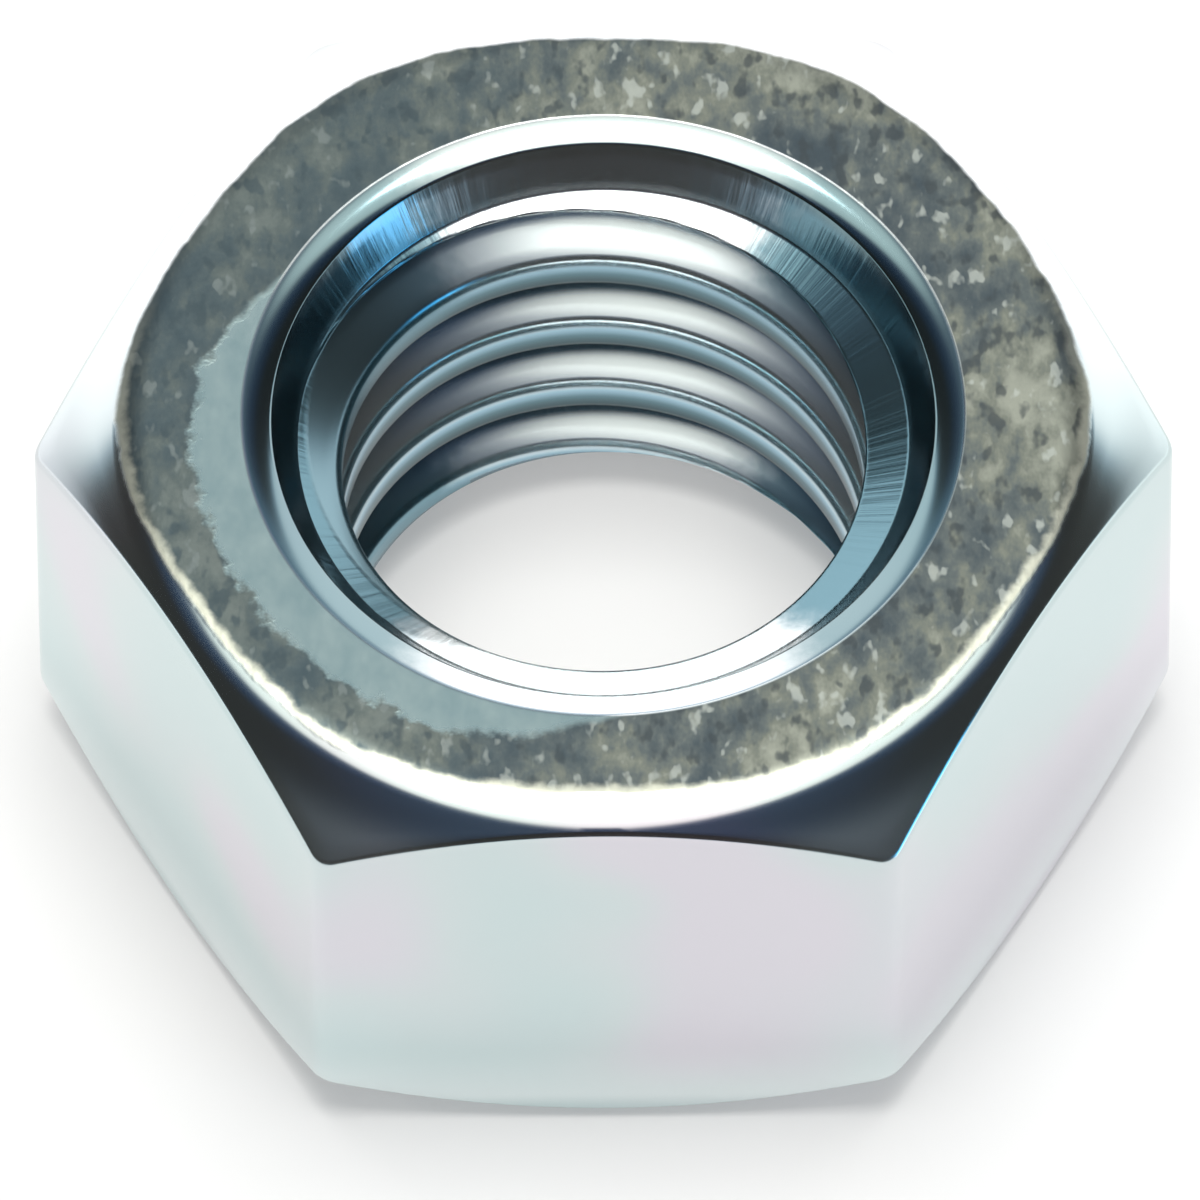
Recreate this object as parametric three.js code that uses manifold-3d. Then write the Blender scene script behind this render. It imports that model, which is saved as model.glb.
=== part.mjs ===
// A plain hex nut, 5/16-18 UNC, zinc plated steel: one forged and tapped piece.
//
// Millimetres, +Z up. The origin is on the thread axis, in the lower bearing face. One pair
// of wrench flats faces -Y and +Y, so two opposite corners lie on the X axis.
//
// The nut is made in the order of the real work: a hexagonal bar is cut to length, both ends
// get a chamfered and blended edge, the hole is opened with a rounded mouth at each end, and a
// right-hand 60 degree thread is tapped through it.

import * as THREE from "three";
import { mergeVertices } from "three/addons/utils/BufferGeometryUtils.js";
import Module from "manifold-3d";

// Driving dimensions: the body.
const acrossFlats = 12.7;
const nutHeight = 6.75;
const cornerRounding = 0.35;
const chamferInset = 0.29;
const chamferAngle = THREE.MathUtils.degToRad(35);
const edgeBlend = 0.89;

// Driving dimensions: the tapped hole.
const threadMajor = 7.94;
const threadPitch = 1.411;
const threadDepth = 0.62;
const flankAngle = THREE.MathUtils.degToRad(30);
const threadStart = 1.12;
const mouthMargin = 0.66;
const lipBlend = 0.74;
const lipAngle = THREE.MathUtils.degToRad(31);
const mouthAngle = THREE.MathUtils.degToRad(57);
const leadInAngle = THREE.MathUtils.degToRad(25);

// How far a cutting shape runs past the surface that it cuts, and how far the thread groove's
// section stands inside the minor diameter. Neither changes the nut's shape.
const overrun = 0.8;
const grooveOverrun = 0.2;

// How finely round surfaces are divided.
const roundSegments = 72;
const cornerSegments = 3;
const blendSegments = 3;

// Worked out from the above.
const sides = 6;
const faceRadius = acrossFlats / 2;
const cornerReach = faceRadius / Math.cos(Math.PI / sides);
const chamferRadius = faceRadius - chamferInset;
const majorRadius = threadMajor / 2;
const minorRadius = majorRadius - threadDepth;
const mouthRadius = majorRadius + mouthMargin;
const rootWidth = threadPitch / 8;

const wasm = await Module();
wasm.setup();

function solidFrom(geometry) {
  const bare = geometry.clone();
  bare.deleteAttribute("normal");
  bare.deleteAttribute("uv");
  const merged = mergeVertices(bare, 1e-5);
  const mesh = new wasm.Mesh({
    numProp: 3,
    vertProperties: new Float32Array(merged.getAttribute("position").array),
    triVerts: new Uint32Array(merged.getIndex().array),
  });
  return new wasm.Manifold(mesh);
}

function geometryFrom(solid) {
  const mesh = solid.getMesh();
  const geometry = new THREE.BufferGeometry();
  geometry.setAttribute("position", new THREE.BufferAttribute(mesh.vertProperties, 3));
  geometry.setIndex(new THREE.BufferAttribute(mesh.triVerts, 1));
  geometry.computeVertexNormals();
  return geometry;
}

// A profile of radius and height, turned about the Z axis.
function turned(profile) {
  const lathe = new THREE.LatheGeometry(profile, roundSegments);
  lathe.rotateX(Math.PI / 2);
  return solidFrom(lathe);
}

// The hexagonal bar, with its six upright corners rounded. It is longer than the nut, because
// shaping the ends brings it to length.
function hexBar() {
  const outline = new THREE.Shape();
  const roundingCentre = (faceRadius - cornerRounding) / Math.cos(Math.PI / sides);
  for (let corner = 0; corner < sides; corner += 1) {
    const heading = (corner * 2 * Math.PI) / sides;
    outline.absarc(
      roundingCentre * Math.cos(heading),
      roundingCentre * Math.sin(heading),
      cornerRounding,
      heading - Math.PI / sides,
      heading + Math.PI / sides,
    );
  }
  outline.closePath();
  const bar = new THREE.ExtrudeGeometry(outline, {
    depth: nutHeight + 2 * overrun,
    curveSegments: cornerSegments,
    bevelEnabled: false,
  });
  bar.translate(0, 0, -overrun);
  return solidFrom(bar);
}

// What the chamfering leaves: two flat bearing faces, each blended into a conical chamfer that
// trims the corners. Profile points are radius and height above the lower bearing face.
function shapedEnds() {
  const blendLength = edgeBlend * Math.tan(chamferAngle / 2);
  const blendStart = chamferRadius - blendLength;
  const outerRadius = cornerReach + overrun;
  const outerRise = (outerRadius - chamferRadius) * Math.tan(chamferAngle);
  const lower = [new THREE.Vector2(0, 0)];
  for (let step = 0; step <= blendSegments; step += 1) {
    const tilt = (chamferAngle * step) / blendSegments;
    lower.push(new THREE.Vector2(
      blendStart + edgeBlend * Math.sin(tilt),
      edgeBlend * (1 - Math.cos(tilt)),
    ));
  }
  lower.push(new THREE.Vector2(outerRadius, outerRise));
  const upper = lower.map((point) => new THREE.Vector2(point.x, nutHeight - point.y));
  return turned([...lower, ...upper.reverse()]);
}

// The hole at the thread's minor diameter, with the same mouth at each end: the bearing face
// rolls over a rounded lip, a steeper wall goes on from there to the thread's major diameter,
// and a shallow cone leads into the thread. Profile points are radius and depth.
function openedHole() {
  const mouth = [];
  for (let step = 0; step <= blendSegments; step += 1) {
    const tilt = (lipAngle * step) / blendSegments;
    mouth.push(new THREE.Vector2(
      mouthRadius - lipBlend * Math.sin(tilt),
      lipBlend * (1 - Math.cos(tilt)),
    ));
  }
  const lipFoot = mouth[blendSegments];
  const wallFoot = lipFoot.y + (lipFoot.x - majorRadius) * Math.tan(mouthAngle);
  const leadInFoot = wallFoot + (majorRadius - minorRadius) * Math.tan(leadInAngle);
  mouth.push(new THREE.Vector2(majorRadius, wallFoot));
  mouth.push(new THREE.Vector2(minorRadius, leadInFoot));

  // The lip's first facet carries on past the bearing face, so that the cut breaks through it.
  const carriedOn = mouth[0].clone().sub(mouth[1]).setLength(overrun);
  const outside = mouth[0].clone().add(carriedOn);
  const lower = [new THREE.Vector2(0, outside.y), outside, ...mouth.slice(1)];
  const upper = lower.map((point) => new THREE.Vector2(point.x, nutHeight - point.y));
  return turned([...lower, ...upper.reverse()]);
}

// The thread groove: a straight bar with the groove's section, wound down the bore as a
// right-hand helix. Its length is counted in turns, from above the nut to below it. Section
// points are radius and height.
function threadGroove() {
  const innerRadius = minorRadius - grooveOverrun;
  const innerWidth = rootWidth + 2 * (majorRadius - innerRadius) * Math.tan(flankAngle);
  const section = new THREE.Shape([
    new THREE.Vector2(majorRadius, rootWidth / 2),
    new THREE.Vector2(innerRadius, innerWidth / 2),
    new THREE.Vector2(innerRadius, -innerWidth / 2),
    new THREE.Vector2(majorRadius, -rootWidth / 2),
  ]);
  const turnsAbove = Math.ceil(nutHeight / threadPitch) + 1;
  const turnsBelow = 1;
  const turns = turnsAbove + turnsBelow;
  const groove = new THREE.ExtrudeGeometry(section, {
    depth: turns,
    steps: turns * roundSegments,
    bevelEnabled: false,
  });
  const position = groove.getAttribute("position");
  for (let i = 0; i < position.count; i += 1) {
    const radius = position.getX(i);
    const turn = turnsAbove - position.getZ(i);
    const heading = 2 * Math.PI * turn;
    position.setXYZ(
      i,
      radius * Math.cos(heading),
      radius * Math.sin(heading),
      threadStart + threadPitch * turn + position.getY(i),
    );
  }
  return solidFrom(groove);
}

const blank = hexBar().intersect(shapedEnds());
const tapped = blank.subtract(openedHole()).subtract(threadGroove());

const zincPlate = new THREE.MeshStandardMaterial({
  color: 0xc6cccd,
  roughness: 0.28,
  metalness: 1,
});

const nut = new THREE.Mesh(geometryFrom(tapped), zincPlate);
nut.name = "hex_nut";

const object = new THREE.Group();
object.add(nut);

export default object;
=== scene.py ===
"""A hex nut, 5/16-18 UNC, in bright zinc plate, on a white table under an overhead softbox.

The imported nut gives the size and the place. Its skin is made again here, finer: the same forged
and tapped shape, with the edges rolled over as forging, tapping and plating leave them.
"""

import math

import bmesh
import bpy
import numpy as np
from mathutils import Matrix, Vector


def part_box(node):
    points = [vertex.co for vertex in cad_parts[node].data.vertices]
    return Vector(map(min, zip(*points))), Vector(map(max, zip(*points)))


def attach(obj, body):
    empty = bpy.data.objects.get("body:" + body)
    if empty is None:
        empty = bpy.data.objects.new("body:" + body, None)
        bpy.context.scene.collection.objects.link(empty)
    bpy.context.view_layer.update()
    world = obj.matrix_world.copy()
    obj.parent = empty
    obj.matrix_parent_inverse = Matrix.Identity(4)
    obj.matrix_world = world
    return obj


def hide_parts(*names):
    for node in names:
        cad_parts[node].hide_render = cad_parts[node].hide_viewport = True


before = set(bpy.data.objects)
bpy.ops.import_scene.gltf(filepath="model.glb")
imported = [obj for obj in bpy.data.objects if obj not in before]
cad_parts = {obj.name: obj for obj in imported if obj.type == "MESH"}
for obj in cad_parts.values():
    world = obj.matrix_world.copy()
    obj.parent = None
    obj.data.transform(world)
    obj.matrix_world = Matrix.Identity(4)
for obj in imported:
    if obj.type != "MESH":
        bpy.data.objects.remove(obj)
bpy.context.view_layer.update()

# The nut's shape, in millimetres. The frame gives its height and its width across flats.
MM = 0.001
LOW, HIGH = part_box("hex_nut")
NUT_HEIGHT = (HIGH.z - LOW.z) / MM
FACE_RADIUS = (HIGH.y - LOW.y) / 2 / MM
SIDES = 6
CORNER_ROUNDING = 0.35
CHAMFER_INSET = 0.29
CHAMFER_ANGLE = math.radians(35)
EDGE_BLEND = 0.89
EDGE_ROUNDING = 0.16

# The tapped hole, in millimetres.
MAJOR_RADIUS = 3.97
THREAD_PITCH = 1.411
THREAD_DEPTH = 0.62
FLANK_ANGLE = math.radians(30)
THREAD_START = 1.12
CREST_ROUNDING = 0.2
ROOT_ROUNDING = 0.07
MOUTH_RADIUS = 4.63
LIP_BLEND = 0.74
LIP_ANGLE = math.radians(31)
MOUTH_ANGLE = math.radians(57)
LEAD_IN_RADIUS = 3.91
LEAD_IN_ANGLE = math.radians(25)
RUN_OUT_ROUNDING = 0.02

# The burnished stretch of the ring, seen from the thread's axis.
BURNISH_HEADING = math.radians(212)
BURNISH_WIDTH = 0.76

# Worked out from those.
HALF_SECTOR = math.pi / SIDES
CHAMFER_RADIUS = FACE_RADIUS - CHAMFER_INSET
BLEND_START = CHAMFER_RADIUS - EDGE_BLEND * math.tan(CHAMFER_ANGLE / 2)
MINOR_RADIUS = MAJOR_RADIUS - THREAD_DEPTH
ROOT_WIDTH = THREAD_PITCH / 8
LIP_FOOT = MOUTH_RADIUS - LIP_BLEND * math.sin(LIP_ANGLE)
LIP_DEPTH = LIP_BLEND * (1 - math.cos(LIP_ANGLE))
WALL_DEPTH = LIP_DEPTH + (LIP_FOOT - LEAD_IN_RADIUS) * math.tan(MOUTH_ANGLE)
LEAD_IN_DEPTH = WALL_DEPTH + (LEAD_IN_RADIUS - MINOR_RADIUS) * math.tan(LEAD_IN_ANGLE)

# How finely each stretch of the skin is divided. Crowding above 1 draws the steps together
# towards a corner or an edge.
CORNER_STEPS = 5
FACE_STEPS = 25
FACE_CROWDING = 1.4
WALL_SHARES = (0, 0.03, 0.35, 0.65, 0.97)
LEAD_IN_STEPS = 16
LIP_STEPS = 12
RING_STEPS = 5
BLEND_STEPS = 9
CHAMFER_STEPS = 4
EDGE_STEPS = 6
SIDE_STEPS = 5
SIDE_CROWDING = 1.6
CREST_STEPS = 6
FLANK_STEPS = 4
ROOT_STEPS = 3

# Points closer than this are one point, and edges shorter than this are none. In metres.
SAME_POINT = 0.4e-6
NO_EDGE = 1e-8

# The camera: a long lens, looking at the front flat from well above it.
SENSOR_WIDTH = 36.0
LENS = 1186.0
CAMERA_DISTANCE = 0.508
CAMERA_ELEVATION = math.radians(56.33)
CAMERA_ROLL = math.radians(-0.3)
AIM_LEFT = 0.054
AIM_DOWN = 0.505
CLIP_NEAR = 0.01
CLIP_FAR = 10.0


# ---------------------------------------------------------------- the nut's skin


def hexagon():
    """Headings once round the nut, and how far out the side is at each. Closer at the corners."""
    centre = (FACE_RADIUS - CORNER_ROUNDING) / math.cos(HALF_SECTOR)
    turn = np.linspace(0, HALF_SECTOR, CORNER_STEPS + 1)
    corner_x = centre + CORNER_ROUNDING * np.cos(turn)
    corner_y = CORNER_ROUNDING * np.sin(turn)
    corner = np.arctan2(corner_y, corner_x)
    share = np.linspace(0, 1, FACE_STEPS + 1)[1:] ** FACE_CROWDING
    face = corner[-1] + (HALF_SECTOR - corner[-1]) * share
    half = np.concatenate([corner, face])
    half_reach = np.concatenate([
        np.hypot(corner_x, corner_y),
        FACE_RADIUS / np.cos(HALF_SECTOR - face),
    ])
    sector = np.concatenate([-half[:0:-1], half[:-1]])
    sector_reach = np.concatenate([half_reach[:0:-1], half_reach[:-1]])
    headings = np.concatenate([sector + 2 * HALF_SECTOR * k for k in range(SIDES)])
    closing = headings[0] + 2 * math.pi
    return np.append(headings, closing), np.append(np.tile(sector_reach, SIDES), half_reach[-1])


def shaped_end(reach):
    """One end of the nut at every heading, as radius and depth below its bearing face: up the
    mouth's wall, over the lip and the flat ring, down the chamfer, and half way down the side."""
    wall = np.array(WALL_SHARES)
    wall_radius = LEAD_IN_RADIUS + (LIP_FOOT - LEAD_IN_RADIUS) * wall
    wall_depth = WALL_DEPTH + (LIP_DEPTH - WALL_DEPTH) * wall

    lip_tilt = np.linspace(LIP_ANGLE, 0, LIP_STEPS + 1)
    lip_radius = MOUTH_RADIUS - LIP_BLEND * np.sin(lip_tilt)
    lip_depth = LIP_BLEND * (1 - np.cos(lip_tilt))

    ring = 0.5 - 0.5 * np.cos(np.linspace(0, math.pi, RING_STEPS + 2)[1:-1])
    ring_radius = MOUTH_RADIUS + (BLEND_START - MOUTH_RADIUS) * ring
    ring_depth = np.zeros(RING_STEPS)

    # The rolled edge between chamfer and side touches the cone at the corners. Half way along
    # a flat there is no cone left, and it touches the blend.
    edge_centre = reach - EDGE_ROUNDING
    blend_end = BLEND_START + EDGE_BLEND * math.sin(CHAMFER_ANGLE)
    blend_end_depth = EDGE_BLEND * (1 - math.cos(CHAMFER_ANGLE))
    on_cone = edge_centre + EDGE_ROUNDING * math.sin(CHAMFER_ANGLE) > blend_end
    inner_blend = EDGE_BLEND - EDGE_ROUNDING
    across = np.minimum((edge_centre - BLEND_START) / inner_blend, math.sin(CHAMFER_ANGLE))
    tilt_end = np.where(on_cone, CHAMFER_ANGLE, np.arcsin(across))
    cone_centre = (
        blend_end_depth
        + (edge_centre - blend_end) * math.tan(CHAMFER_ANGLE)
        + EDGE_ROUNDING / math.cos(CHAMFER_ANGLE)
    )
    centre_depth = np.where(on_cone, cone_centre, EDGE_BLEND - inner_blend * np.cos(tilt_end))

    blend_tilt = np.outer(tilt_end, np.linspace(0, 1, BLEND_STEPS + 1))
    blend_radius = BLEND_START + EDGE_BLEND * np.sin(blend_tilt)
    blend_depth = EDGE_BLEND * (1 - np.cos(blend_tilt))

    edge = np.linspace(0, 1, EDGE_STEPS + 1)
    edge_tilt = tilt_end[:, None] + np.outer(math.pi / 2 - tilt_end, edge)
    edge_radius = edge_centre[:, None] + EDGE_ROUNDING * np.sin(edge_tilt)
    edge_depth = centre_depth[:, None] - EDGE_ROUNDING * np.cos(edge_tilt)

    cone = np.linspace(0, 1, CHAMFER_STEPS + 1)[1:-1]
    cone_radius = blend_radius[:, -1:] + (edge_radius[:, :1] - blend_radius[:, -1:]) * cone
    cone_depth = blend_depth[:, -1:] + (edge_depth[:, :1] - blend_depth[:, -1:]) * cone

    side = np.linspace(0, 1, SIDE_STEPS + 1)[1:] ** SIDE_CROWDING
    side_depth = centre_depth[:, None] + np.outer(NUT_HEIGHT / 2 - centre_depth, side)
    side_radius = np.repeat(reach[:, None], SIDE_STEPS, axis=1)

    def everywhere(values):
        return np.tile(values, (len(reach), 1))

    radius = [everywhere(wall_radius), everywhere(lip_radius), everywhere(ring_radius)]
    depth = [everywhere(wall_depth), everywhere(lip_depth), everywhere(ring_depth)]
    radius += [blend_radius, cone_radius, edge_radius, side_radius]
    depth += [blend_depth, cone_depth, edge_depth, side_depth]
    return np.hstack(radius), np.hstack(depth)


def thread_section():
    """One pitch of the thread, as heights from the middle of the groove's root and radii."""
    root_half = ROOT_WIDTH / 2
    turn = math.pi / 2 - FLANK_ANGLE
    crest_tangent = CREST_ROUNDING * math.tan(turn / 2)
    root_tangent = ROOT_ROUNDING * math.tan(turn / 2)
    crest_start = root_half + THREAD_DEPTH * math.tan(FLANK_ANGLE)

    root_turn = np.linspace(0, turn, ROOT_STEPS + 1)
    root_height = root_half - root_tangent + ROOT_ROUNDING * np.sin(root_turn)
    root_radius = MAJOR_RADIUS - ROOT_ROUNDING * (1 - np.cos(root_turn))

    crest_turn = np.linspace(turn, 0, CREST_STEPS + 1)
    crest_height = crest_start + crest_tangent - CREST_ROUNDING * np.sin(crest_turn)
    crest_radius = MINOR_RADIUS + CREST_ROUNDING * (1 - np.cos(crest_turn))

    flank = np.linspace(0, 1, FLANK_STEPS + 1)[1:-1]
    flank_height = root_height[-1] + (crest_height[0] - root_height[-1]) * flank
    flank_radius = root_radius[-1] + (crest_radius[0] - root_radius[-1]) * flank

    height = np.concatenate([root_height, flank_height, crest_height])
    radius = np.concatenate([root_radius, flank_radius, crest_radius])
    middle = [THREAD_PITCH / 2], [MINOR_RADIUS]
    return (
        np.concatenate([-height[::-1], height, middle[0]]),
        np.concatenate([radius[::-1], radius, middle[1]]),
    )


def tapped_bore(headings):
    """The bore at every heading, from the lower mouth's foot to the upper one, as radius and
    height. Rings cross the two lead-in cones. Between them the lines climb with the thread."""
    offsets, section = thread_section()
    climb = THREAD_START + THREAD_PITCH * headings[:, None] / (2 * math.pi)

    def thread_radius(height):
        return np.interp(height - climb, offsets, section, period=THREAD_PITCH)

    ring_depth = np.linspace(WALL_DEPTH, LEAD_IN_DEPTH, LEAD_IN_STEPS + 1)[None, 1:]
    cone = LEAD_IN_RADIUS - (ring_depth - WALL_DEPTH) / math.tan(LEAD_IN_ANGLE)
    across = np.sin(math.pi * np.linspace(0, 1, LEAD_IN_STEPS + 1)[None, 1:])
    rounding = RUN_OUT_ROUNDING * across

    def lead_in(height):
        thread = thread_radius(height)
        return 0.5 * (thread + cone + np.sqrt((thread - cone) ** 2 + rounding ** 2))

    lower_height = np.repeat(ring_depth, len(headings), axis=0)
    lower_radius = lead_in(lower_height)
    upper_height = NUT_HEIGHT - lower_height
    upper_radius = lead_in(upper_height)

    floor, ceiling = LEAD_IN_DEPTH, NUT_HEIGHT - LEAD_IN_DEPTH
    first = math.floor((floor - THREAD_START) / THREAD_PITCH) - 2
    last = math.ceil((ceiling - THREAD_START) / THREAD_PITCH) + 1
    turns = np.arange(first, last + 1)
    lines = (turns[:, None] * THREAD_PITCH + offsets[None, :]).ravel()
    height = np.clip(climb + lines[None, :], floor, ceiling)
    return (
        np.hstack([lower_radius, thread_radius(height), upper_radius[:, ::-1]]),
        np.hstack([lower_height, height, upper_height[:, ::-1]]),
    )


def nut_skin():
    """The whole skin as one closed mesh, with a map that unrolls it round the nut."""
    headings, reach = hexagon()
    end_radius, end_depth = shaped_end(reach)
    bore_radius, bore_height = tapped_bore(headings)
    radius = np.hstack([end_radius, end_radius[:, -2::-1], bore_radius, end_radius[:, :1]])
    height = np.hstack([NUT_HEIGHT - end_depth, end_depth[:, -2::-1], bore_height,
                        NUT_HEIGHT - end_depth[:, :1]])
    columns, rows = radius.shape
    x = radius * np.cos(headings)[:, None]
    y = radius * np.sin(headings)[:, None]
    points = np.stack([x, y, height], axis=-1).reshape(-1, 3) * MM

    steps = np.hypot(np.diff(radius, axis=1), np.diff(height, axis=1))
    along = np.hstack([np.zeros((columns, 1)), np.cumsum(steps, axis=1)])
    along /= along[:, -1:]
    around = np.repeat((headings - headings[0])[:, None] / (2 * math.pi), rows, axis=1)
    places = np.stack([around, along], axis=-1).reshape(-1, 2)

    index = np.arange(columns * rows).reshape(columns, rows)
    quads = np.stack([
        index[:-1, :-1], index[:-1, 1:], index[1:, 1:], index[1:, :-1],
    ], axis=-1).reshape(-1, 4)

    mesh = bpy.data.meshes.new("nut_skin")
    mesh.from_pydata(points.tolist(), [], quads.tolist())
    unrolled = mesh.uv_layers.new(name="OFBake")
    unrolled.uv.foreach_set("vector", places[quads.ravel()].astype(np.float32).ravel())
    skin = bmesh.new()
    skin.from_mesh(mesh)
    bmesh.ops.remove_doubles(skin, verts=skin.verts, dist=SAME_POINT)
    bmesh.ops.dissolve_degenerate(skin, edges=skin.edges, dist=NO_EDGE)
    skin.to_mesh(mesh)
    skin.free()
    mesh.shade_smooth()
    return mesh


# ---------------------------------------------------------------- wiring of finishes


class Wire:
    """A socket in a node tree. Sums written with it become Math nodes."""

    def __init__(self, finish, socket):
        self.finish = finish
        self.socket = socket

    def sum(self, operation, *terms):
        inputs = dict(enumerate(terms))
        return self.finish.add("ShaderNodeMath", {"operation": operation}, inputs)

    def __add__(self, other):
        return self.sum("ADD", self, other)

    def __sub__(self, other):
        return self.sum("SUBTRACT", self, other)

    def __rsub__(self, other):
        return self.sum("SUBTRACT", other, self)

    def __mul__(self, other):
        return self.sum("MULTIPLY", self, other)

    def __truediv__(self, other):
        return self.sum("DIVIDE", self, other)

    def __pow__(self, other):
        return self.sum("POWER", self, other)

    __radd__ = __add__
    __rmul__ = __mul__

    def size(self):
        return self.sum("ABSOLUTE", self)

    def root(self):
        return self.sum("SQRT", self)


class Finish:
    """A node tree that is being wired: a material's or the world's."""

    def __init__(self, owner):
        owner.use_nodes = True
        self.tree = owner.node_tree
        self.tree.nodes.clear()

    def add(self, kind, settings=None, inputs=None, output=0):
        """A node of that kind, with its settings made first and then its inputs joined."""
        node = self.tree.nodes.new(kind)
        for name, value in (settings or {}).items():
            if name == "stops":
                set_stops(node.color_ramp, value)
            else:
                setattr(node, name, value)
        for name, value in (inputs or {}).items():
            if isinstance(value, Wire):
                self.tree.links.new(value.socket, node.inputs[name])
            else:
                node.inputs[name].default_value = value
        return Wire(self, node.outputs[output]) if node.outputs else None

    def ramp(self, amount, stops):
        """A colour for each amount from 0 to 1, between stops of place and colour."""
        return self.add("ShaderNodeValToRGB", {"stops": stops}, {"Fac": amount})

    def rise(self, amount, start, end):
        """0 up to start, 1 from end on, and a smooth rise between them, or a fall."""
        settings = {"interpolation_type": "SMOOTHSTEP"}
        inputs = {"Value": amount, "From Min": start, "From Max": end}
        return self.add("ShaderNodeMapRange", settings, inputs)

    def blend(self, share, first, second):
        """One colour going over to another by a share."""
        inputs = {"Factor": share, 6: opaque(first), 7: opaque(second)}
        return self.add("ShaderNodeMix", {"data_type": "RGBA"}, inputs, output=2)

    def grain(self, place, scale, detail=3.0, roughness=0.55):
        """A cloudy pattern from 0 to 1 over the place."""
        inputs = {"Vector": place, "Scale": scale, "Detail": detail, "Roughness": roughness}
        return self.add("ShaderNodeTexNoise", {}, inputs)

    def stretched(self, place, factors):
        """The place, drawn out or pressed together along each axis."""
        inputs = {0: place, 1: factors}
        return self.add("ShaderNodeVectorMath", {"operation": "MULTIPLY"}, inputs)

    def parts(self, vector):
        """The three numbers that a vector is made of."""
        split = self.add("ShaderNodeSeparateXYZ", {}, {0: vector})
        return [Wire(self, part) for part in split.socket.node.outputs]


def set_stops(ramp, stops):
    """Gives a ramp its stops of place and colour."""
    while len(ramp.elements) < len(stops):
        ramp.elements.new(1.0)
    for element, (place, colour) in zip(ramp.elements, stops):
        element.position = place
        element.color = opaque(colour)


def opaque(colour):
    """A colour as a socket takes it. A colour that comes by wire stays as it is."""
    return colour if isinstance(colour, Wire) else (*colour, 1.0)


# ---------------------------------------------------------------- bright zinc plate

# Colours of the plate and of the light and shade painted on it, as linear red, green and blue.
# A list is a ramp of place and colour.
DULL_CLOUDS = [
    (0.0, (0.05, 0.066, 0.076)),
    (0.4, (0.095, 0.112, 0.111)),
    (0.7, (0.150, 0.163, 0.138)),
    (1.0, (0.24, 0.255, 0.215)),
]
DARK_SPECK = (0.045, 0.055, 0.06)
# Painted glints on the pale specks.
SPECK_GLINT = (0.36, 0.39, 0.36)
LEFT_SHADOW = (0.05, 0.075, 0.085)
# Painted highlight along the front of the rim.
RIM_HIGHLIGHT = (0.62, 0.63, 0.52)
BURNISHED_DARK = (0.24, 0.36, 0.38)
BURNISHED_LIGHT = (0.44, 0.55, 0.54)
CYAN_TO_PINK = [
    (0.0, (0.58, 0.69, 0.695)),
    (0.5, (0.62, 0.69, 0.70)),
    (1.0, (0.68, 0.66, 0.715)),
]
# Painted highlight on the chamfers at the back.
CHAMFER_HIGHLIGHT = (0.95, 0.97, 0.98)
# Painted highlight at the foot of the sides, lighter towards the bottom.
FOOT_HIGHLIGHT = (0.86, 0.92, 0.92)
# Painted highlight on the front of the lip.
FRONT_LIP_HIGHLIGHT = (0.93, 0.95, 0.96)
# Painted shade on the lip's sides.
SIDE_LIP_SHADE = (0.19, 0.30, 0.33)
# Painted light and shade up the thread: dark on the flanks that face down, bright on those that
# face up.
THREAD_LIGHT_AND_SHADE = [
    (0.0, (0.06, 0.09, 0.10)),
    (0.4, (0.14, 0.24, 0.28)),
    (0.75, (0.36, 0.55, 0.66)),
    (1.0, (0.80, 0.88, 0.89)),
]
# Painted highlight on the mouth's lead-in in front and behind, and painted shade at its sides.
BRIGHT_LEAD_IN = (0.90, 0.93, 0.94)
BRIGHT_WALL = (0.55, 0.58, 0.60)
SHADED_LEAD_IN = (0.18, 0.32, 0.38)
SHADED_LEFT_WALL = (0.24, 0.33, 0.37)
SHADED_RIGHT_WALL = (0.13, 0.19, 0.21)

# Where the kinds of surface begin and where they are full, in millimetres of depth or height.
FACE_DEPTHS = (0.3, 0.2)
SIDE_DEPTHS = (0.25, 0.6)
CHAMFER_DEPTHS = (1.0, 0.7)
FIRST_TURN_DEPTHS = (1.9, 1.3)
FOOT_HEIGHTS = (1.8, 0.2)

# The same for patterns, for one turn of the thread, and for how far a place is turned to the
# north, the east or the sides.
MOTTLE = (0.42, 0.88)
DARK_SPECKS = (0.54, 0.68)
PALE_SPECKS = (0.40, 0.30)
TINT_CLOUDS = (0.36, 0.64)
CREST_TURNS = (0.32, 0.74)
BURNISH_TURN = (0.4, 0.9)
BACK_TURN = (-0.15, 0.5)
FRONT_LIP_TURN = (-0.3, -0.75)
SIDE_LIP_TURN = (0.12, 0.42)
SHADOW_TURN = (0.2, -0.7)
RIM_TURN = (0.4, -0.2)
SIDE_SHADE_TURN = (0.28, 0.5)
RIGHT_TURN = (-0.2, 0.2)

# How many clouds or spots a pattern has to the millimetre. Streaks go by the angle.
WANDER_SCALE = 1.6
RAGGED_SCALE = 3.5
SPOT_SCALE = 3.2
SPECK_SCALE = 4.5
CLOUD_SCALE = 0.4
TINT_SCALE = 0.22
STREAK_SCALE = 26.0

# How far a speck, a burnished patch, or painted shade or highlight hides what is under it.
DARK_SPECK_SHARE = 0.75
PALE_SPECK_SHARE = 0.6
SHADOW_SHARE = 0.65
RIM_SHARE = 0.7
CHAMFER_SHARE = 0.9
FOOT_SHARE = 0.7
SIDE_LIP_SHARE = 0.9
BURNISHED_SHARE = 0.85
FIRST_TURN_SHARE = 0.9

# How far the mottle's edge wanders and reaches out, and how wide its fade is, in millimetres.
EDGE_WANDER = 0.14
SIDE_REACH = 0.2
CORNER_REACH = 0.1
FADE = 0.08
RIM_WIDTH = 0.14

# Roughness of smooth plate, and what the other surfaces add to it or take from it.
PLATE_ROUGHNESS = 0.14
DULL_ROUGHER = 0.26
BURNISHED_SMOOTHER = 0.14
SIDE_ROUGHER = 0.08
THREAD_ROUGHER = 0.1

# Height of the spots and of the streaks, in millimetres.
RELIEF = 0.012


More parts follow.
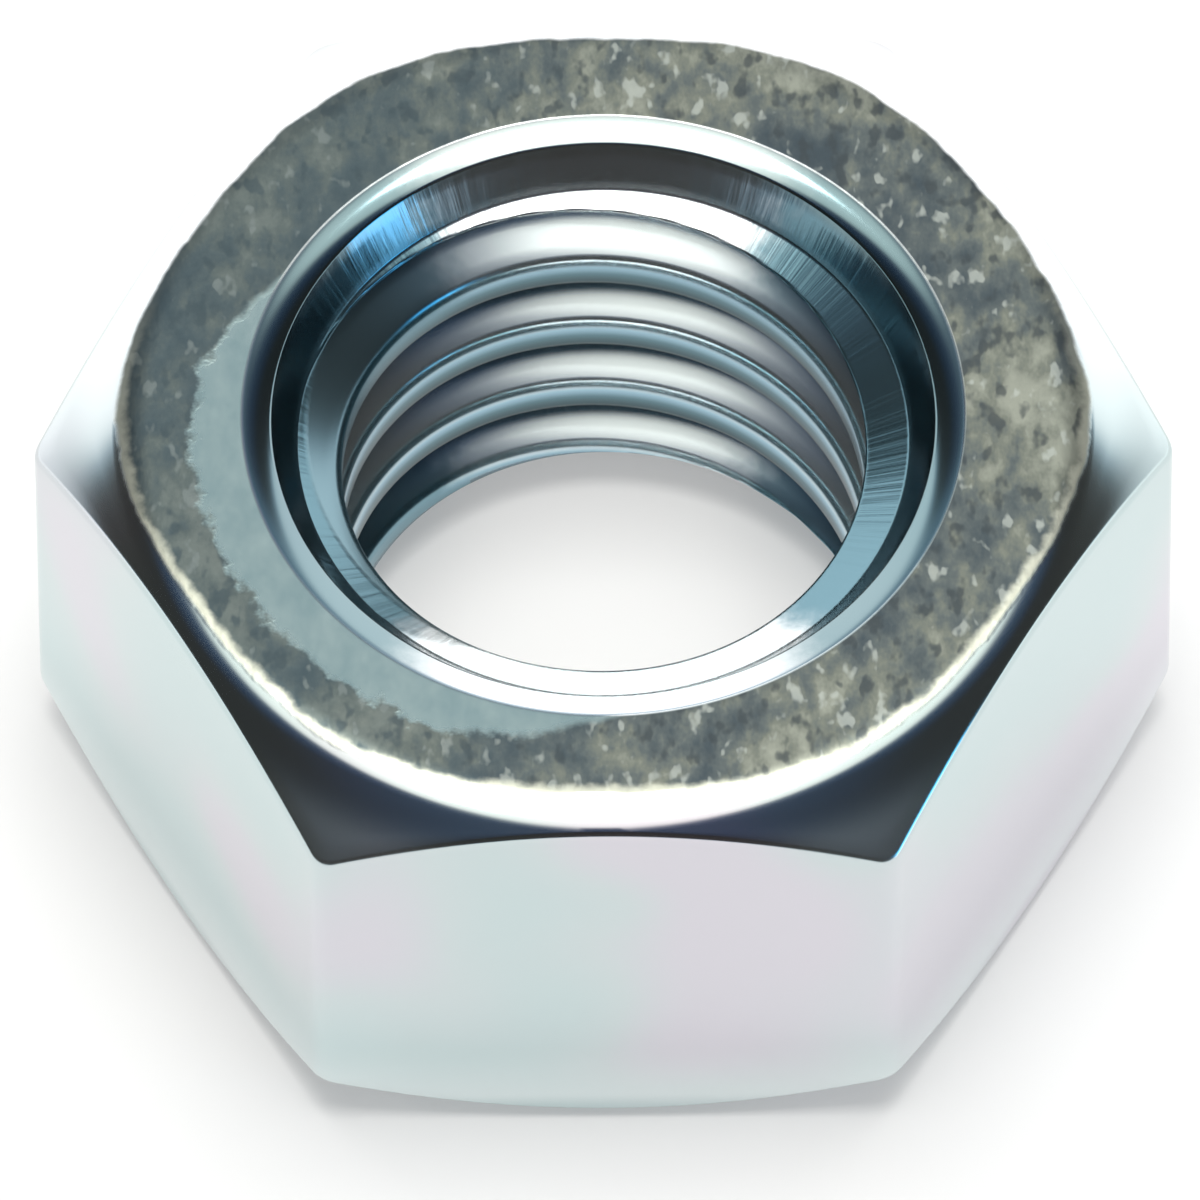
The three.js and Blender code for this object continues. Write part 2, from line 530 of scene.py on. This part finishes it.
def bright_zinc():
    """Zinc plate with a clear blue passivation: smooth and faintly iridescent on the wrench
    flats and the rolled edges, dull and mottled on the forged bearing faces, with painted shade at
    the mouth's sides and painted highlights on the thread's flanks."""
    material = bpy.data.materials.new("bright_zinc")
    zinc = Finish(material)
    metres = zinc.add("ShaderNodeTexCoord", output="Object")
    place = zinc.stretched(metres, (1 / MM, 1 / MM, 1 / MM))
    x, y, z = zinc.parts(place)
    radius = (x * x + y * y).root()
    depth = NUT_HEIGHT / 2 - (z - NUT_HEIGHT / 2).size()

    # Directions round the axis: east and north from -1 to 1, and the swing, 1 at each corner.
    east, north = x / radius, y / radius
    sideways = east * east
    heading = zinc.add("ShaderNodeMath", {"operation": "ARCTAN2"}, {0: y, 1: x})
    swing = zinc.add("ShaderNodeMath", {"operation": "COSINE"}, {0: heading * SIDES})

    # Where each kind of surface is. The mottle reaches further out towards the corners.
    wander = zinc.grain(place, WANDER_SCALE) - 0.5
    reach = sideways * SIDE_REACH + (swing + 1) * CORNER_REACH
    face_edge = BLEND_START + wander * EDGE_WANDER + reach
    on_face = (
        zinc.rise(depth, *FACE_DEPTHS)
        * zinc.rise(radius, face_edge + FADE, face_edge)
        * zinc.rise(radius, MOUTH_RADIUS - 0.02, MOUTH_RADIUS + 0.02)
    )
    in_hole = zinc.rise(radius, MOUTH_RADIUS + 0.02, MOUTH_RADIUS - 0.05)
    on_side = zinc.rise(depth, *SIDE_DEPTHS) * (1 - in_hole)
    in_thread = zinc.rise(radius, MAJOR_RADIUS + 0.02, MAJOR_RADIUS - 0.05)
    in_mouth = zinc.rise(depth, LEAD_IN_DEPTH + 0.02, LEAD_IN_DEPTH - 0.03)
    below_lip = zinc.rise(radius, LIP_FOOT + 0.05, LIP_FOOT - 0.1) * in_mouth

    # The punch has burnished one stretch of the ring beside the hole.
    lean = east * math.cos(BURNISH_HEADING) + north * math.sin(BURNISH_HEADING)
    ragged = zinc.grain(place, RAGGED_SCALE) - 0.5
    burnish_width = zinc.rise(lean, *BURNISH_TURN) * (ragged * 0.6 + BURNISH_WIDTH)
    burnish_edge = MOUTH_RADIUS - 0.1 + burnish_width
    burnished = on_face * zinc.rise(radius, burnish_edge + FADE, burnish_edge - FADE)

    # The bearing faces: broad dull clouds, fine spots, dark specks, pale specks painted as glints,
    # a painted shadow on the left side, and a painted highlight along the rim in front.
    drawn = zinc.stretched(place, (1.0, 0.6, 1.0))
    spots = zinc.grain(drawn, SPOT_SCALE, roughness=0.6)
    clouds = zinc.grain(place, CLOUD_SCALE, detail=2.0)
    dull = zinc.ramp(zinc.rise(spots * 0.6 + clouds * 0.7, *MOTTLE), DULL_CLOUDS)
    specks = zinc.grain(drawn, SPECK_SCALE, detail=2.0, roughness=0.5)
    dull = zinc.blend(zinc.rise(specks, *DARK_SPECKS) * DARK_SPECK_SHARE, dull, DARK_SPECK)
    dull = zinc.blend(zinc.rise(specks, *PALE_SPECKS) * PALE_SPECK_SHARE, dull, SPECK_GLINT)
    shadow = zinc.rise(east + ragged * 0.6, *SHADOW_TURN)
    dull = zinc.blend(shadow * SHADOW_SHARE, dull, LEFT_SHADOW)
    rim_highlight = zinc.rise(radius + ragged * 0.2, face_edge - RIM_WIDTH, face_edge)
    rim_highlight = rim_highlight * zinc.rise(north, *RIM_TURN)
    dull = zinc.blend(rim_highlight * RIM_SHARE, dull, RIM_HIGHLIGHT)

    # The passivation's tint, from cyan to pink in slow clouds. Painted highlights make it paler on
    # the chamfers at the back, at the sides' foot and on the front of the lip, and painted shade
    # makes it deeper on the lip's sides.
    tint_clouds = zinc.grain(place, TINT_SCALE, detail=1.0)
    tint = zinc.ramp(zinc.rise(tint_clouds, *TINT_CLOUDS), CYAN_TO_PINK)
    on_chamfer = zinc.rise(depth, *CHAMFER_DEPTHS) * (1 - in_hole)
    back_chamfer_highlight = zinc.rise(north, *BACK_TURN) * on_chamfer
    tint = zinc.blend(back_chamfer_highlight * CHAMFER_SHARE, tint, CHAMFER_HIGHLIGHT)
    foot = zinc.rise(z, *FOOT_HEIGHTS) * on_side
    tint = zinc.blend(foot * FOOT_SHARE, tint, FOOT_HIGHLIGHT)
    front_lip_highlight = zinc.rise(north, *FRONT_LIP_TURN) * in_hole
    tint = zinc.blend(front_lip_highlight, tint, FRONT_LIP_HIGHLIGHT)
    side_lip_shade = zinc.rise(sideways + ragged * 0.1, *SIDE_LIP_TURN) * in_hole
    tint = zinc.blend(side_lip_shade * SIDE_LIP_SHARE, tint, SIDE_LIP_SHADE)

    colour = zinc.blend(on_face, tint, dull)
    burnish = zinc.blend(spots, BURNISHED_DARK, BURNISHED_LIGHT)
    colour = zinc.blend(burnished * BURNISHED_SHARE, colour, burnish)

    # Painted light and shade on the thread: the flanks that face up are painted bright, its crests
    # are painted darker towards their lower edges, and the flanks that face down are painted dark.
    # Turns are counted up the thread, and their fraction is 0 in the middle of the groove.
    turns = (z - THREAD_START) / THREAD_PITCH - heading / (2 * math.pi)
    turn = zinc.add("ShaderNodeMath", {"operation": "FRACT"}, {0: turns})
    thread_light_and_shade = zinc.ramp(zinc.rise(turn, *CREST_TURNS), THREAD_LIGHT_AND_SHADE)
    colour = zinc.blend(in_thread, colour, thread_light_and_shade)

    # The mouth below the lip is bright in front and behind, with a painted highlight on the
    # lead-in there, and painted shade turns it blue-grey at the sides. The painted shade runs on
    # into the first turn of the thread.
    side_shade = zinc.rise(sideways + ragged * 0.15 + north * 0.1, *SIDE_SHADE_TURN)
    on_wall = zinc.rise(radius, LEAD_IN_RADIUS - 0.02, LEAD_IN_RADIUS + 0.01)
    bright_mouth = zinc.blend(on_wall, BRIGHT_LEAD_IN, BRIGHT_WALL)
    right = zinc.rise(east, *RIGHT_TURN)
    wall_shade = zinc.blend(right, SHADED_LEFT_WALL, SHADED_RIGHT_WALL)
    shaded_mouth = zinc.blend(on_wall, SHADED_LEAD_IN, wall_shade)
    colour = zinc.blend(below_lip, colour, zinc.blend(side_shade, bright_mouth, shaded_mouth))
    first_turn = zinc.rise(depth, *FIRST_TURN_DEPTHS) * zinc.rise(radius, LIP_FOOT, LIP_FOOT - 0.1)
    colour = zinc.blend(first_turn * side_shade * FIRST_TURN_SHARE, colour, SHADED_LEAD_IN)

    roughness = (
        PLATE_ROUGHNESS
        + on_face * DULL_ROUGHER
        - burnished * BURNISHED_SMOOTHER
        + on_side * SIDE_ROUGHER
        + in_thread * THREAD_ROUGHER
    )

    # Streaks run across the mouth, because they hardly change along the axis.
    round_place = zinc.add("ShaderNodeCombineXYZ", inputs={0: east, 1: north, 2: z * 0.02})
    streaks = zinc.grain(round_place, STREAK_SCALE, roughness=0.6)
    height = spots * (on_face - burnished) * RELIEF + streaks * below_lip * RELIEF
    bump = zinc.add("ShaderNodeBump", {}, {"Strength": 0.6, "Distance": MM, "Height": height})
    shader = zinc.add("ShaderNodeBsdfPrincipled", {}, {
        "Base Color": colour,
        "Metallic": 1.0,
        "Roughness": roughness,
        "Normal": bump,
    })
    zinc.add("ShaderNodeOutputMaterial", inputs={"Surface": shader})
    return material


# ---------------------------------------------------------------- the table and the light


TABLE_REACH = 0.8
TABLE_GREY = 0.47
TABLE_GLOW = 0.33

# The room's shades by how high a direction points, from 0 level to 1 straight up.
DARK_CEILING = [
    (0.0, (0.06, 0.055, 0.05)),
    (0.70, (0.035, 0.034, 0.034)),
    (0.84, (0.02, 0.055, 0.13)),
]
FRONT_WALL = (1.0, 1.0, 1.0)
BACK_WALL = (1.5, 1.5, 1.5)
WALL_TOP_EDGE = (0.25, 0.45, 0.6)
DIFFUSER = (1.35, 1.33, 1.25)
DIFFUSER_EDGE = (0.845, 0.875)
CEILING_EDGE = (0.03, 0.13)
SIDE_WALL_TURN = (0.05, 0.45)
SIDE_WALL_HEIGHT = 0.12
BACK_WALL_HEIGHT = 0.6
BACK_WALL_GATHER = 6.0


def white_table():
    """A white table top, level with the face that the nut stands on."""
    mesh = bpy.data.meshes.new("table_top")
    near, far = -TABLE_REACH, TABLE_REACH
    corners = [(near, near, 0), (far, near, 0), (far, far, 0), (near, far, 0)]
    mesh.from_pydata(corners, [], [(0, 1, 2, 3)])
    table = bpy.data.objects.new("table_top", mesh)
    bpy.context.scene.collection.objects.link(table)
    material = bpy.data.materials.new("white_table")
    white = Finish(material)
    shader = white.add("ShaderNodeBsdfPrincipled", {}, {
        "Base Color": (TABLE_GREY, TABLE_GREY, TABLE_GREY, 1.0),
        "Roughness": 0.9,
        "Emission Color": (1.0, 1.0, 1.0, 1.0),
        "Emission Strength": TABLE_GLOW,
    })
    white.add("ShaderNodeOutputMaterial", inputs={"Surface": shader})
    mesh.materials.append(material)


def studio():
    """White walls low down, higher behind than in front, a dark ceiling over them, and a pale
    diffuser overhead, round the softbox."""
    world = bpy.data.worlds.new("studio")
    bpy.context.scene.world = world
    room = Finish(world)
    direction = room.add("ShaderNodeTexCoord", output="Generated")
    x, y, z = room.parts(direction)
    never_zero = 1e-6
    behind = y / (x * x + y * y + never_zero).root() * 0.5 + 0.5
    back_top = behind ** BACK_WALL_GATHER * BACK_WALL_HEIGHT
    wall_top = back_top + room.rise(behind, *SIDE_WALL_TURN) * SIDE_WALL_HEIGHT
    ceiling = room.rise(z - wall_top, *CEILING_EDGE)
    dark = room.ramp(z, DARK_CEILING)
    wall = room.blend(behind, FRONT_WALL, BACK_WALL)
    shade = room.blend(room.rise(ceiling, 0.0, 0.5), wall, WALL_TOP_EDGE)
    shade = room.blend(room.rise(ceiling, 0.4, 1.0), shade, dark)
    shade = room.blend(room.rise(z, *DIFFUSER_EDGE), shade, DIFFUSER)
    light = room.add("ShaderNodeBackground", {}, {"Color": shade, "Strength": 1.0})
    room.add("ShaderNodeOutputWorld", inputs={"Surface": light})


def area_light(name, heading, elevation, distance, size, radiance, colour):
    """A soft light that shines on the nut from a heading and an elevation, in degrees."""
    lamp = bpy.data.lights.new(name, "AREA")
    lamp.shape = "RECTANGLE"
    lamp.size, lamp.size_y = size
    lamp.color = colour
    lamp.energy = radiance * math.pi * size[0] * size[1]
    light = bpy.data.objects.new(name, lamp)
    bpy.context.scene.collection.objects.link(light)
    side, lift = math.radians(heading), math.radians(elevation)
    towards = Vector((math.cos(lift) * math.cos(side), math.cos(lift) * math.sin(side),
                      math.sin(lift)))
    light.location = towards * distance
    light.rotation_mode = "QUATERNION"
    light.rotation_quaternion = towards.to_track_quat("Z", "Y")


def camera():
    """The camera stands in front of the -Y flat and looks down at the nut."""
    lens = bpy.data.cameras.new("camera")
    lens.sensor_width = SENSOR_WIDTH
    lens.lens = LENS
    lens.clip_start = CLIP_NEAR
    lens.clip_end = CLIP_FAR
    right = Vector((1, 0, 0))
    back = Vector((0, -math.cos(CAMERA_ELEVATION), math.sin(CAMERA_ELEVATION)))
    up = back.cross(right)
    centre = (LOW + HIGH) / 2
    aim = centre - right * AIM_LEFT * MM - up * AIM_DOWN * MM
    turn = Matrix((right, up, back)).transposed() @ Matrix.Rotation(CAMERA_ROLL, 3, "Z")
    viewer = bpy.data.objects.new("camera", lens)
    viewer.matrix_world = Matrix.Translation(aim + back * CAMERA_DISTANCE) @ turn.to_4x4()
    bpy.context.scene.collection.objects.link(viewer)
    bpy.context.scene.camera = viewer


camera()
studio()
white_table()
area_light("overhead_softbox", 90, 90, 0.9, (0.5, 0.5), 11.0, (1.0, 0.99, 0.965))
area_light("blue_window", -24, 13, 0.8, (0.26, 0.30), 2.6, (0.10, 0.56, 1.0))
bpy.context.scene.view_settings.view_transform = "Standard"

nut = bpy.data.objects.new("zinc_nut", nut_skin())
bpy.context.scene.collection.objects.link(nut)
nut.data.materials.append(bright_zinc())
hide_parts("hex_nut")
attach(nut, "root")
